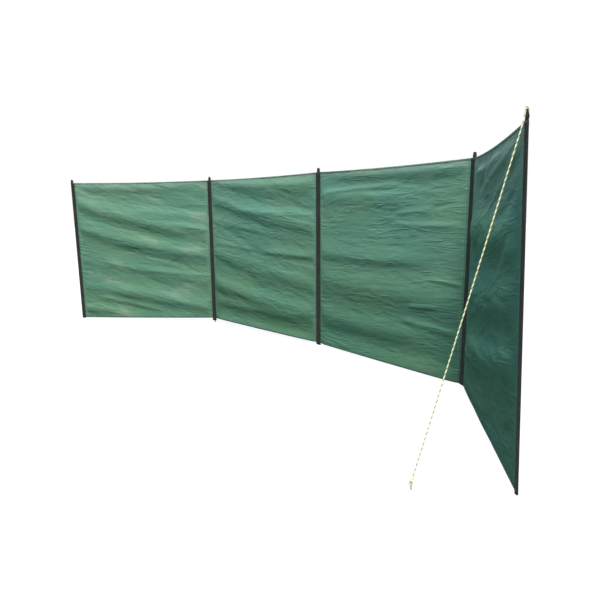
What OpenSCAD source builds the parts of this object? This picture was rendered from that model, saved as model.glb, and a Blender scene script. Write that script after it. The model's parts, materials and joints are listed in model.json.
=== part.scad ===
// Beach windbreak: four bays of cloth on five poles, bent round into a shelter,
// with one guy rope that stays the right-hand end pole to a ground peg.
// The poles stand in tape sleeves sewn between the bays, and a webbing loop at the
// top of each sleeve goes over the pole's round end and holds the cloth up.
// Frame: millimetres, +Z up, origin at the foot of the middle pole at ground level,
// X along the middle of the run, and -Y towards the sheltered side.

/* [Layout] */
// Distance between neighbouring pole axes
bay_w = 1300; // [900:10:1600]
// Turn of the run at the second pole, in degrees
left_turn = 34.5; // [0:0.5:60]
// Turn of the run at the middle pole, in degrees
middle_turn = 7; // [0:0.5:40]
// Turn of the run at the fourth pole, in degrees
right_turn = 44; // [0:0.5:60]
// Lean of the right-hand pole towards its guy rope, in degrees
end_lean = 2.5; // [0:0.1:4]

/* [Poles] */
// Diameter of a pole
pole_d = 9; // [8:0.5:16]
// How far a pole stands above its sleeve
pole_rise = 26; // [25:1:60]
// How far the right-hand pole does, clear of the rope in its loop
end_rise = 8; // [4:1:10]

/* [Cloth] */
// Height of the cloth's top corners
cloth_top = 1226; // [800:1:1500]
// Height of its bottom corners at each pole, from left to right
foot_gaps = [7, 39, 16, 4, 3];
// Thickness of the cloth
cloth_t = 2; // [1:0.5:3]
// Height of a bound hem
hem_h = 10; // [6:1:30]
// Thickness of a bound hem
hem_t = 4; // [3:0.5:6]
// Sag of the top edge in each bay, from left to right
top_sags = [7, 7, 8, 14];

/* [Sleeves] */
// Width across a sleeve, from seam to seam
sleeve_w = 42; // [34:1:60]
// Width of an end sleeve beyond its pole
end_margin = 13; // [10:1:20]
// How far a sleeve reaches below the cloth, and the gap that it leaves to the ground
sleeve_drop = 22; // [0:1:30]
sleeve_gap = 2; // [1:0.5:10]
// Wall of a sleeve
sleeve_t = 1.5; // [1:0.1:2]
// Gap between a pole and what is wrapped round it
ease = 0.3; // [0.2:0.1:0.5]

/* [Top loops] */
// Width of the webbing
strap_w = 12; // [10:1:20]
// Thickness of the webbing
strap_t = 2; // [1:0.5:3]
// How far the webbing's feet spread on a sleeve's top edge, except at the rope
foot_spread = 5; // [0:0.5:6]
// Width that the rope gathers the end loop's crown to
gather_w = 6; // [5:0.5:8]

/* [Guy rope] */
// Diameter of the rope
rope_d = 5; // [3:0.5:6]
// Diameter of the knot above the peg
knot_d = 13; // [13:0.5:18]
// Diameter and length of the whipping below the end loop
whip_d = 8; // [7:0.5:8.5]
whip_l = 14; // [8:1:16]
// Distance from the end pole to the peg
peg_reach = 360; // [250:10:1500]

/* [Ground peg] */
// Diameter of the peg's wire
peg_d = 6; // [4:0.5:8]
// Height of the straight shank above the ground
peg_shank = 12; // [12:1:40]
// Length of the straight nose of the hook
peg_nose = 8; // [4:1:12]

/* [Hidden] */
$fn = 64;
hull_fn = 32;
sag_facet = 25;
twist_slices = 12;
twist_sides = 32;
poles = 5;
bays = poles - 1;
end_pole = poles;

// Plan of the run: the heading of each bay, then the foot of each pole
heading_2 = middle_turn / 2;
heading_3 = -middle_turn / 2;
headings = [heading_2 + left_turn, heading_2, heading_3, heading_3 - right_turn];
function step(bay) = bay_w * [cos(headings[bay - 1]), sin(headings[bay - 1])];
feet = [-step(2) - step(1), -step(2), [0, 0], step(3), step(3) + step(4)];
// Way the run goes at a pole, which halves the turn there
function run_at(i) = i == 1 ? headings[0] : i == poles ? headings[bays - 1]
    : (headings[i - 2] + headings[i - 1]) / 2;

// Heights of a pole's end, of a sleeve's lower end, and of a bay's bottom edge at a distance along it
function pole_top(i) = cloth_top + (i == end_pole ? end_rise : pole_rise);
function sleeve_foot(i) = max(sleeve_gap, foot_gaps[i - 1] - sleeve_drop);
function bottom_z(bay, x) = foot_gaps[bay - 1] + (foot_gaps[bay] - foot_gaps[bay - 1]) * x / bay_w;

// Angle that the last bay's cloth turns by from the ground to its top, with the lean of the end pole
last_slant = atan2(cloth_top * tan(end_lean), bay_w);

// Sleeve and panel
sleeve_r = pole_d / 2 + ease + sleeve_t;
seam_at = sleeve_w / 2;
seam_l = sleeve_t;
panel_w = bay_w - 2 * seam_at;

// Top loops: the end one is drawn up by the rope in it
crown_r = pole_d / 2 + ease;
loop_r = crown_r + strap_t;
function arch_z(i) = pole_rise - pole_d / 2 + (i == end_pole ? rope_d + ease : 0);

// Hook of the peg: the rope's eye just fits under it
hook_r = rope_d + peg_d / 2 + 2 * ease;
hook_top = peg_shank + hook_r;
eye_r = peg_d / 2 + rope_d / 2 + 2 * ease;
eye_z = hook_top + ease;

// Rope, in the upright plane square to the last bay: from its eye round the end loop's crown, straight to the peg
crown_z = cloth_top + arch_z(end_pole) + crown_r + strap_t / 2;
tie_r = norm([gather_w, strap_t]) / 2 + ease + rope_d / 2;
run_reach = peg_reach - crown_z * sin(end_lean);
run_drop = crown_z * cos(end_lean) - eye_z;
rope_slope = atan2(run_drop, run_reach);
rope_run = norm([run_drop, run_reach]) - eye_r - tie_r;

cloth_green = [0.20, 0.46, 0.33];
hem_green = [0.09, 0.19, 0.14];
tape_black = [0.13, 0.13, 0.12];
pole_black = [0.10, 0.10, 0.10];
rope_yellow = [0.90, 0.92, 0.60];
peg_steel = [0.62, 0.63, 0.65];

// At the foot of the end pole, with X along the last bay
module at_end() translate(feet[end_pole - 1]) rotate(headings[bays - 1]) children();

// Along a pole's own axis, with X the way the run goes there
module at_pole(i) translate(feet[i - 1]) rotate(run_at(i)) rotate([i == end_pole ? end_lean : 0, 0, 0]) children();

module at_bay(bay) translate(feet[bay - 1]) rotate(headings[bay - 1]) children();

// Turns a drawing in X and height, drawn as X and Y, upright, with its thickness across the run
module upright(thickness) rotate([90, 0, 0]) linear_extrude(thickness, center = true) children();

// Pole with a round top end, cut off level at the ground
module pole(i) color(pole_black) intersection() {
    at_pole(i) rotate_extrude() intersection() {
        union() {
            translate([0, -pole_d]) square([pole_d / 2, pole_top(i) + pole_d / 2]);
            translate([0, pole_top(i) - pole_d / 2]) circle(d = pole_d);
        }
        translate([0, -pole_d]) square([pole_d / 2, pole_top(i) + pole_d]);
    }
    translate(feet[i - 1]) translate([-bay_w / 2, -bay_w / 2, 0]) cube([bay_w, bay_w, 2 * cloth_top]);
}

module tape_edge(reach) translate([reach - seam_l, -hem_t / 2]) square([seam_l, hem_t]);

// Outline of tape drawn round a pole, from seam to seam, or to its own fold at an end of the run
module sleeve_outline(i) hull() {
    circle(r = sleeve_r, $fn = hull_fn);
    if (i < poles) rotate(headings[i - 1] - run_at(i)) tape_edge(seam_at);
    else tape_edge(end_margin);
    if (i > 1) rotate(headings[i - 2] - run_at(i) + 180) tape_edge(seam_at);
    else rotate(180) tape_edge(end_margin);
}

// Tunnel of black tape, open at both ends, that a pole stands in
module sleeve(i) color(tape_black) at_pole(i) translate([0, 0, sleeve_foot(i)])
    linear_extrude(cloth_top - sleeve_foot(i)) difference() {
        sleeve_outline(i);
        offset(delta = -sleeve_t) sleeve_outline(i);
    }

// Arch that the webbing's inner or outer face follows over the top of a pole
module arch(i, r) hull() {
    base = r + (i == end_pole ? 0 : foot_spread);
    translate([0, arch_z(i)]) circle(r, $fn = hull_fn);
    translate([-base, 0]) square([2 * base, strap_t / 2]);
}

// Room that the webbing keeps to, seen along the run: the rope gathers the end loop's crown
module webbing_outline(i) {
    translate([-strap_w / 2, 0]) square([strap_w, arch_z(i) - (i == end_pole ? loop_r : -loop_r)]);
    if (i == end_pole) hull() {
        translate([-strap_w / 2, 0]) square([strap_w, arch_z(i) - loop_r]);
        translate([-gather_w / 2, 0]) square([gather_w, arch_z(i) + crown_r / 2]);
    }
    translate([-gather_w / 2, 0]) square([gather_w, arch_z(i) + loop_r]);
}

// Loop of webbing, sewn to the sleeve's top edge on both sides of a pole
module top_loop(i) color(tape_black) at_pole(i) translate([0, 0, cloth_top]) intersection() {
    upright(strap_w) difference() {
        arch(i, loop_r);
        arch(i, crown_r);
    }
    rotate([90, 0, 90]) linear_extrude(4 * loop_r, center = true) webbing_outline(i);
}

// Round line that the top edge of a bay hangs in, as the disc above it
module sag_disc(bay, z) {
    sag = top_sags[bay - 1];
    r = (pow(panel_w / 2, 2) + sag * sag) / (2 * sag);
    translate([bay_w / 2, z - sag + r]) circle(r, $fn = 4 * ceil(r / sag_facet));
}

// Sheet that fills a bay from the ground up, and in the last bay turns with the lean of its pole
module bay_sheet(bay, thickness)
    linear_extrude(cloth_top, twist = bay == bays ? last_slant : 0, slices = twist_slices, $fn = twist_sides)
    translate([seam_at, -thickness / 2]) square([panel_w, thickness]);

// Part of a bay's sheet inside a drawing in X and height
module bay_piece(bay, thickness) at_bay(bay) intersection() {
    bay_sheet(bay, thickness);
    upright(bay_w) children();
}

// Room above a bay's bottom edge, raised by this much
module above_bottom(bay, rise) polygon([
    [-bay_w, bottom_z(bay, -bay_w) + rise],
    [2 * bay_w, bottom_z(bay, 2 * bay_w) + rise],
    [2 * bay_w, 2 * cloth_top],
    [-bay_w, 2 * cloth_top],
]);

// Room below its sagging top edge, lowered by this much
module below_top(bay, drop) difference() {
    translate([-bay_w, -cloth_top]) square([3 * bay_w, 2 * cloth_top]);
    sag_disc(bay, cloth_top - drop);
}

// One bay of cloth between its hems
module panel(bay) color(cloth_green) bay_piece(bay, cloth_t) intersection() {
    above_bottom(bay, hem_h);
    below_top(bay, hem_h);
}

// Bound hem along the sagging top edge of a bay
module top_hem(bay) color(hem_green) bay_piece(bay, hem_t) difference() {
    below_top(bay, 0);
    below_top(bay, hem_h);
}

// Bound hem along the straight bottom edge of a bay
module bottom_hem(bay) color(hem_green) bay_piece(bay, hem_t) difference() {
    above_bottom(bay, 0);
    above_bottom(bay, hem_h);
}

// Stay for the end pole: a whipped eye round the crown of its loop, and a knotted eye on the peg's hook
module guy_rope() color(rope_yellow) {
    at_pole(end_pole) translate([0, 0, crown_z]) rope_eye(tie_r);
    at_end() translate([0, -peg_reach, eye_z]) {
        rope_eye(eye_r);
        rotate([rope_slope - 90, 0, 0]) translate([0, 0, eye_r]) {
            cylinder(d = rope_d, h = rope_run);
            translate([0, 0, knot_d / 2]) sphere(d = knot_d);
            translate([0, 0, rope_run - whip_l]) cylinder(d = whip_d, h = whip_l);
        }
    }
}

module rope_eye(r) rotate([0, 90, 0]) rotate_extrude() translate([r, 0]) circle(d = rope_d);

// Wire peg with a hooked head, square to the rope, cut off at ground level
module ground_peg() color(peg_steel) at_end() translate([0, -peg_reach, 0]) {
    translate([hook_r, 0, 0]) cylinder(d = peg_d, h = peg_shank);
    translate([0, 0, peg_shank]) rotate([90, 0, 0]) rotate_extrude(angle = 180)
        translate([hook_r, 0]) circle(d = peg_d);
    translate([-hook_r, 0, peg_shank - peg_nose]) cylinder(d = peg_d, h = peg_nose);
}

for (i = [1:poles]) {
    pole(i);
    sleeve(i);
    top_loop(i);
}
for (bay = [1:bays]) {
    panel(bay);
    top_hem(bay);
    bottom_hem(bay);
}
guy_rope();
ground_peg();
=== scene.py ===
"""Looks of the beach windbreak: folded cloth, bound hems, tape sleeves, webbing, guy rope and peg."""

import json
import logging
import math
from dataclasses import dataclass
from enum import Enum
from typing import Callable, Mapping, Sequence, Union

import bmesh
import bpy
import numpy as np
from mathutils import Matrix, Vector, noise

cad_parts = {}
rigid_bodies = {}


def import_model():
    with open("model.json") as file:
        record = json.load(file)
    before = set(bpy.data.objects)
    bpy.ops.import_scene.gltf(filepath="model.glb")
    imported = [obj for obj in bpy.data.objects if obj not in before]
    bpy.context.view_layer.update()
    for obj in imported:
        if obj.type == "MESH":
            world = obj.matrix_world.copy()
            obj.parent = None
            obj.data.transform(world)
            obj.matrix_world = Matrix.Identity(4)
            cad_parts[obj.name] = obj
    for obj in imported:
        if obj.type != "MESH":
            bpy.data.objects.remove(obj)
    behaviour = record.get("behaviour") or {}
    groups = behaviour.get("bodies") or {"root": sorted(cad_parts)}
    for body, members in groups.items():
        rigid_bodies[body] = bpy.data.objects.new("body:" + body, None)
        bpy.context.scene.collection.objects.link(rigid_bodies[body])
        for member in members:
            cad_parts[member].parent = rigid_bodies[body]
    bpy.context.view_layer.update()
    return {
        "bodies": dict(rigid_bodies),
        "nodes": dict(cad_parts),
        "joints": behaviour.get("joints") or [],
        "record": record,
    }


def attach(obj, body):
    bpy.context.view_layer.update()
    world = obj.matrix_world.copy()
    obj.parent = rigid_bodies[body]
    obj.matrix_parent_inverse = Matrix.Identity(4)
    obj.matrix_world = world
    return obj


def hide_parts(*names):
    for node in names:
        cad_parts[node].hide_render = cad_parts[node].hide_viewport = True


LOG = logging.getLogger("beach_windbreak")
BODY = "root"
TAU = 2 * math.pi
# UV map that holds each corner's place in its piece's own pattern
CUT = "cut"
# Length of one step of relief, in metres
RELIEF = 0.001
# Distances from a thread's middle between which it fades out, and shares of a stitch from its own middle
THREAD = (0.0003, 0.0008)
DASH = (0.30, 0.38)
# A way that no part of the rope runs in
ASKEW = (0.36, 0.48, 0.80)


def soft_step(low: float, high: float, value: float) -> float:
    """Rises smoothly from 0 at low to 1 at high."""
    share = min(max((value - low) / (high - low), 0.0), 1.0)
    return share * share * (3 - 2 * share)


@dataclass(frozen=True)
class Shade:
    """A colour as it is seen, with its three parts from 0 to 255."""

    red: float
    green: float
    blue: float

    @property
    def rgba(self) -> tuple[float, float, float, float]:
        """Works the colour out in the linear numbers that a shader takes.

        Returns:
            Its red, green and blue, and 1 for a solid colour.
        """
        parts = [part / 255 for part in (self.red, self.green, self.blue)]
        line = [p / 12.92 if p <= 0.04045 else ((p + 0.055) / 1.055) ** 2.4 for p in parts]
        return (line[0], line[1], line[2], 1.0)


Value = Union["Wire", float]
Entry = Union["Wire", float, Sequence[float]]


class Wire:
    """A value that leaves a socket and takes part in plain arithmetic."""

    def __init__(self, board: "Board", socket: bpy.types.NodeSocket) -> None:
        """Keeps the board and the socket that the value leaves from."""
        self.board = board
        self.socket = socket

    def math(self, operation: str, *others: Value) -> "Wire":
        """Adds the Math node of an operation, with this value as its first."""
        return self.board.math(operation, self, *others)

    def __add__(self, other: Value) -> "Wire":
        """This value plus another."""
        return self.math("ADD", other)

    def __radd__(self, other: Value) -> "Wire":
        """Another value plus this one."""
        return self.board.math("ADD", other, self)

    def __sub__(self, other: Value) -> "Wire":
        """This value less another."""
        return self.math("SUBTRACT", other)

    def __rsub__(self, other: Value) -> "Wire":
        """Another value less this one."""
        return self.board.math("SUBTRACT", other, self)

    def __mul__(self, other: Value) -> "Wire":
        """This value times another."""
        return self.math("MULTIPLY", other)

    def __rmul__(self, other: Value) -> "Wire":
        """Another value times this one."""
        return self.board.math("MULTIPLY", other, self)

    def __truediv__(self, other: Value) -> "Wire":
        """This value divided by another."""
        return self.math("DIVIDE", other)

    def __rtruediv__(self, other: Value) -> "Wire":
        """Another value divided by this one."""
        return self.board.math("DIVIDE", other, self)

    def sine(self) -> "Wire":
        """Sine of this value."""
        return self.math("SINE")

    def size(self) -> "Wire":
        """This value without its sign."""
        return self.math("ABSOLUTE")

    def cycle(self) -> "Wire":
        """What is left of this value after its whole part."""
        return self.math("FRACT")

    def within(self, low: float, high: float) -> "Wire":
        """Compares this value with two limits.

        Args:
            low: The limit at which the answer is 0.
            high: The limit at which the answer is 1.

        Returns:
            The answer, which is smooth between the limits.
        """
        settings = {"interpolation_type": "SMOOTHSTEP"}
        inputs = {"Value": self, "From Min": low, "From Max": high}
        return self.board.node("ShaderNodeMapRange", settings, inputs)


class Board:
    """The node tree of one finish."""

    def __init__(self, tree: bpy.types.NodeTree) -> None:
        """Empties a tree to build on."""
        self.tree = tree
        tree.nodes.clear()

    def node(
        self,
        kind: str,
        settings: Mapping[str, object],
        inputs: Mapping[Union[str, int], Entry],
        output: Union[str, int] = 0,
    ) -> Wire:
        """Adds a node.

        Args:
            kind: The node's type.
            settings: Its properties, set first.
            inputs: Values or wires of its sockets, by name or number.
            output: The socket that the wire leaves from.

        Returns:
            The wire from the output, or from the first input of an end node.
        """
        made = self.tree.nodes.new(kind)
        for name, value in settings.items():
            setattr(made, name, value)
        for key, value in inputs.items():
            if isinstance(value, Wire):
                self.tree.links.new(value.socket, made.inputs[key])
            else:
                made.inputs[key].default_value = value
        return Wire(self, made.outputs[output] if made.outputs else made.inputs[0])

    def math(self, operation: str, *values: Value) -> Wire:
        """Adds the Math node of an operation on its values in order."""
        return self.node("ShaderNodeMath", {"operation": operation}, dict(enumerate(values)))

    def mix(self, first: Entry, second: Entry, share: Value, blend: str = "MIX") -> Wire:
        """Mixes two colours.

        Args:
            first: The colour where share is 0.
            second: The colour where share is 1.
            share: How much of the second shows.
            blend: The way in which they are mixed.

        Returns:
            The mixed colour.
        """
        settings = {"data_type": "RGBA", "blend_type": blend, "clamp_factor": True}
        return self.node("ShaderNodeMix", settings, {0: share, 6: first, 7: second}, 2)

    def tint(self, colour: Entry, level: Value) -> Wire:
        """Makes a colour lighter or darker by a level about 1."""
        grey = self.node("ShaderNodeCombineColor", {}, {0: level, 1: level, 2: level})
        return self.mix(colour, grey, 1.0, "MULTIPLY")

    def cut(self) -> tuple[Wire, Wire]:
        """Reads a piece's own pattern.

        Returns:
            The two lengths that the pattern runs along.
        """
        flat = self.node("ShaderNodeUVMap", {"uv_map": CUT}, {})
        parts = [self.node("ShaderNodeSeparateXYZ", {}, {0: flat}, axis) for axis in "XY"]
        return (parts[0], parts[1])

    def cloud(
        self,
        place: Sequence[Wire],
        often: Sequence[float],
        detail: float = 3.0,
        rough: float = 0.5,
        seed: float = 0.0,
    ) -> Wire:
        """A soft noise about 0.5.

        Args:
            place: Two or three lengths.
            often: How many patches the noise has in one unit of each length.
            detail: How many finer layers it has.
            rough: How strong the finer layers are.
            seed: A shift that makes a noise of two lengths another one.

        Returns:
            The noise, from 0 to 1.
        """
        spots: list[Value] = [length * count for length, count in zip(place, often)]
        spot = self.node("ShaderNodeCombineXYZ", {}, dict(enumerate((spots + [seed])[:3])))
        inputs = {"Vector": spot, "Scale": 1.0, "Detail": detail, "Roughness": rough}
        return self.node("ShaderNodeTexNoise", {"noise_dimensions": "3D"}, inputs)

    def object_place(self) -> tuple[Wire, Wire, Wire]:
        """Reads the shared frame.

        Returns:
            Its three lengths.
        """
        spot = self.node("ShaderNodeTexCoord", {}, {}, "Object")
        parts = [self.node("ShaderNodeSeparateXYZ", {}, {0: spot}, axis) for axis in "XYZ"]
        return (parts[0], parts[1], parts[2])

    def stitches(self, across: Wire, along: Wire, edge: float, length: float) -> Wire:
        """A row of stitches.

        Args:
            across: Place across the row.
            along: Place along the row.
            edge: Where the row runs.
            length: Length of a stitch with its gap.

        Returns:
            1 on the thread and 0 off it.
        """
        row = 1 - (across - edge).size().within(*THREAD)
        return row * (1 - ((along / length).cycle() - 0.5).size().within(*DASH))

    def end(self, colour: Entry, rough: Value, height: Value, extra: Mapping[str, Entry]) -> None:
        """Closes a finish with its shader.

        Args:
            colour: Base colour.
            rough: Roughness.
            height: Relief, in steps.
            extra: More sockets of the shader.
        """
        relief = {"Strength": 1.0, "Distance": RELIEF, "Height": height}
        bump = self.node("ShaderNodeBump", {}, relief, "Normal")
        inputs: dict[Union[str, int], Entry] = {"Base Color": colour, "Roughness": rough, "Normal": bump}
        inputs.update(extra)
        shader = self.node("ShaderNodeBsdfPrincipled", {}, inputs)
        self.node("ShaderNodeOutputMaterial", {}, {"Surface": shader})


def new_material(name: str) -> tuple[bpy.types.Material, Board]:
    """Makes an empty material.

    Args:
        name: Name of the material.

    Returns:
        The material and its board.
    """
    material = bpy.data.materials.new(name)
    material.use_nodes = True
    return material, Board(material.node_tree)


@dataclass(frozen=True)
class ClothFinish:
    """Plain-woven green cloth with a folded, stitched allowance along each seam.

    The pairs from yarns on are how many patches of noise there are in a metre across and up.
    """

    # From low at the foot to high at the top of each bay, the colour holds painted shade below and painted
    # light above.
    high: Shade = Shade(123, 168, 144)
    low: Shade = Shade(99, 140, 112)
    cool: Shade = Shade(236, 248, 255)
    warm: Shade = Shade(255, 254, 247)
    dust: Shade = Shade(168, 187, 166)
    # Paler colour of a painted sheen along the top of each bay.
    painted_sheen_colour: Shade = Shade(164, 184, 164)
    thread: Shade = Shade(160, 184, 166)
    pitch: float = 0.0017
    allowance: float = 0.021
    seam_line: tuple[float, float] = (0.0006, 0.0030)
    raw_edge: float = 0.001
    yarns: tuple[float, float] = (9, 260)
    mottles: tuple[float, float] = (1.6, 2.8)
    wear: tuple[float, float] = (3.4, 9.0)
    patches: tuple[float, float] = (4, 8)
    long_creases: tuple[float, float] = (4, 24)
    short_creases: tuple[float, float] = (12, 52)
    puckers: tuple[float, float] = (13, 44)

    def dress(self, width: float, tall: float, drape: "Drape") -> bpy.types.Material:
        """Makes the material of one bay.

        Args:
            width: Width of the cloth between its seams.
            tall: Height of its top edge.
            drape: How the bay hangs and has aged, and the painted light and shade on it.

        Returns:
            The material.
        """
        material, board = new_material("bay_cloth")
        across, up = board.cut()
        over = up - across * drape.slope
        weave = (across * (math.pi / self.pitch)).sine() * (up * (math.pi / self.pitch)).sine()
        weft = board.cloud((across, up), self.yarns, 2.0, 0.6, drape.seed)
        warp = board.cloud((across, up), self.yarns[::-1], 2.0, 0.6, drape.seed + 3)
        mottle = board.cloud((across, up), self.mottles, 3.0, 0.5, drape.seed + 7)
        long = self.crease(board, (across, over), self.long_creases, drape.seed + 11)
        short = self.crease(board, (across, over), self.short_creases, drape.seed + 17)
        worn = board.cloud((across, over), self.wear, 4.0, 0.55, drape.seed + 23)
        pucker = board.cloud((across, over), self.puckers, 2.0, 0.5, drape.seed + 29)
        patchy = board.cloud((across, over), self.patches, 2.0, 0.5, drape.seed + 41).within(0.38, 0.66)
        edge = across.math("MINIMUM", width - across)
        line = 1 - (edge - self.allowance).size().within(*self.seam_line)
        double = 1 - edge.within(self.allowance - self.raw_edge, self.allowance + self.raw_edge)
        # Painted shade towards the foot and painted light towards the top: the colour rises from low to high
        # up the bay.
        painted_foot_shade, painted_top_light = drape.painted_light_rise
        rise = painted_foot_shade + up.within(tall * 0.1, tall * 0.9) * (painted_top_light - painted_foot_shade)
        # Strength and depth of the painted sheen along the top.
        pale, sheen_band_h = drape.painted_sheen_band
        colour = board.mix(self.low.rgba, self.high.rgba, rise)
        cast = board.mix(self.cool.rgba, self.warm.rgba, mottle.within(0.30, 0.70))
        colour = board.mix(colour, cast, 1.0, "MULTIPLY")
        colour = board.mix(colour, self.dust.rgba, drape.faded * worn.within(0.46, 0.74))
        # Painted sheen: a paler strip along the top, standing in for the sky glancing off the cloth.
        colour = board.mix(colour, self.painted_sheen_colour.rgba, up.within(tall - sheen_band_h, tall) * pale)
        colour = board.tint(colour, 0.88 + weft * 0.12 + warp * 0.12 - double * 0.06)
        colour = board.mix(colour, self.thread.rgba, line * 0.45)
        lines = (long * 1.3 + short * 0.4) * patchy
        height = lines + pucker * 1.4 + double * 0.5 + weave * 0.06 + weft * 0.14 + warp * 0.08
        board.end(colour, 0.74 + mottle * 0.16, height, {"Specular IOR Level": 0.03})
        return material

    @staticmethod
    def crease(board: Board, place: Sequence[Wire], often: Sequence[float], seed: float) -> Wire:
        """Thin raised lines where a soft noise is at its middle."""
        return (1 - (board.cloud(place, often, 2.0, 0.5, seed) - 0.5).size() * 2).within(0.80, 1.0)


@dataclass(frozen=True)
class TapeFinish:
    """Black woven tape with a row of stitches along each edge."""

    black: Shade = Shade(52, 55, 52)
    worn: Shade = Shade(72, 76, 72)
    stitch: Shade = Shade(92, 91, 84)
    rib: float = 0.0022
    band: float = 0.010
    edges: tuple[float, float] = (0.0032, 0.0368)
    stitch_l: float = 0.0042
    wear: tuple[float, float] = (60, 9)

    def dress(self, name: str) -> bpy.types.Material:
        """Makes the material, with ribs and stitches along the tape.

        Args:
            name: Name of the material.

        Returns:
            The material.
        """
        material, board = new_material(name)
        across, up = board.cut()
        twill = ((across + up) * (TAU / self.rib)).sine()
        herring = ((across - up) * (TAU / self.rib)).sine()
        side = (across * (math.pi / self.band)).sine().within(-0.2, 0.2)
        ribs = twill * side + herring * (1 - side)
        worn = board.cloud((across, up), self.wear, 4.0, 0.6)
        rows = [board.stitches(across, up, edge, self.stitch_l) for edge in self.edges]
        stitches = rows[0] + rows[1]
        colour = board.mix(self.black.rgba, self.worn.rgba, worn.within(0.42, 0.75))
        colour = board.tint(colour, 0.96 + ribs * 0.08)
        colour = board.mix(colour, self.stitch.rgba, stitches * 0.8)
        height = ribs * 0.16 + worn * 0.6 + stitches * 0.5
        board.end(colour, 0.58 + worn * 0.20, height, {"Specular IOR Level": 0.12})
        return material


@dataclass(frozen=True)
class BindingFinish:
    """Dark green binding folded over the edge of the cloth and stitched down."""

    dark: Shade = Shade(62, 88, 73)
    pale: Shade = Shade(86, 116, 97)
    stitch: Shade = Shade(96, 128, 110)
    rib: float = 0.0020
    stitch_at: float = 0.0075
    stitch_l: float = 0.0045
    mottles: tuple[float, float] = (16, 60)

    def dress(self) -> bpy.types.Material:
        """Makes the material, with a row of stitches along the binding.

        Returns:
            The material.
        """
        material, board = new_material("hem_binding")
        along, down = board.cut()
        ribs = (along * (TAU / self.rib)).sine() * (down * (TAU / self.rib)).sine()
        mottle = board.cloud((along, down), self.mottles)
        stitches = board.stitches(down, along, self.stitch_at, self.stitch_l)
        colour = board.mix(self.dark.rgba, self.pale.rgba, mottle.within(0.35, 0.72))
        colour = board.mix(colour, self.stitch.rgba, stitches * 0.8)
        height = ribs * 0.12 + mottle * 0.5 + stitches * 0.4
        board.end(colour, 0.70 + mottle * 0.14, height, {"Specular IOR Level": 0.08})
        return material


@dataclass(frozen=True)
class RopeFinish:
    """Bright pale yellow laid rope with one dark tracer yarn, painted shade in its grooves and a painted
    glow.
    """

    pale: Shade = Shade(255, 255, 212)
    deep_shade_and_soil: Shade = Shade(250, 246, 150)
    tracer: Shade = Shade(74, 76, 56)
    lay: float = 0.020
    strands: int = 3
    yarn_lay: float = 0.006
    soiling: tuple[float, float] = (3, 40)

    def dress(self) -> bpy.types.Material:
        """Makes the material, with yarns and the tracer along the lay.

        Returns:
            The material.
        """
        material, board = new_material("guy_rope_painted_glow")
        around, along = board.cut()
        turn = (around - along / self.lay).cycle()
        yarns = ((around * self.strands + along / self.yarn_lay) * (TAU * self.strands)).sine()
        groove = ((turn * self.strands).cycle() - 0.5).size().within(0.36, 0.5)
        mark = 1 - (turn - 0.5).size().within(0.08, 0.14)
        soil = board.cloud((around, along), self.soiling)
        # Deeper, darker yellow in the grooves between strands is painted shade; the soil noise on top is real
        # soiling.
        colour = board.mix(self.pale.rgba, self.deep_shade_and_soil.rgba, groove * 0.7 + soil * 0.12)
        colour = board.mix(colour, self.tracer.rgba, mark * 0.95)
        height = yarns * 0.10 + soil * 0.1
        # Painted glow: the rope gives off light in its own colour, to look brighter than its lamps make it.
        extra = {"Emission Color": colour, "Emission Strength": 0.22}
        board.end(colour, 0.62 + soil * 0.2, height, extra)
        return material


@dataclass(frozen=True)
class BarFinish:
    """Coated or bare bar, with drawn lines along it and wear."""

    name: str
    base: Shade
    worn: Shade
    metal: float
    rough: float
    lines: tuple[float, float, float] = (900, 900, 30)
    spots: tuple[float, float, float] = (90, 90, 60)

    def dress(self) -> bpy.types.Material:
        """Makes the material from the shared frame's own lengths.

        Returns:
            The material.
        """
        material, board = new_material(self.name)
        place = board.object_place()
        drawn = board.cloud(place, self.lines, 2.0)
        wear = board.cloud(place, self.spots, 4.0, 0.62)
        share = wear.within(0.52, 0.66)
        colour = board.tint(board.mix(self.base.rgba, self.worn.rgba, share), 0.88 + drawn * 0.24)
        height = drawn * 0.072 + wear * 0.12
        board.end(colour, self.rough + share * 0.18, height, {"Metallic": self.metal})
        return material


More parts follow.
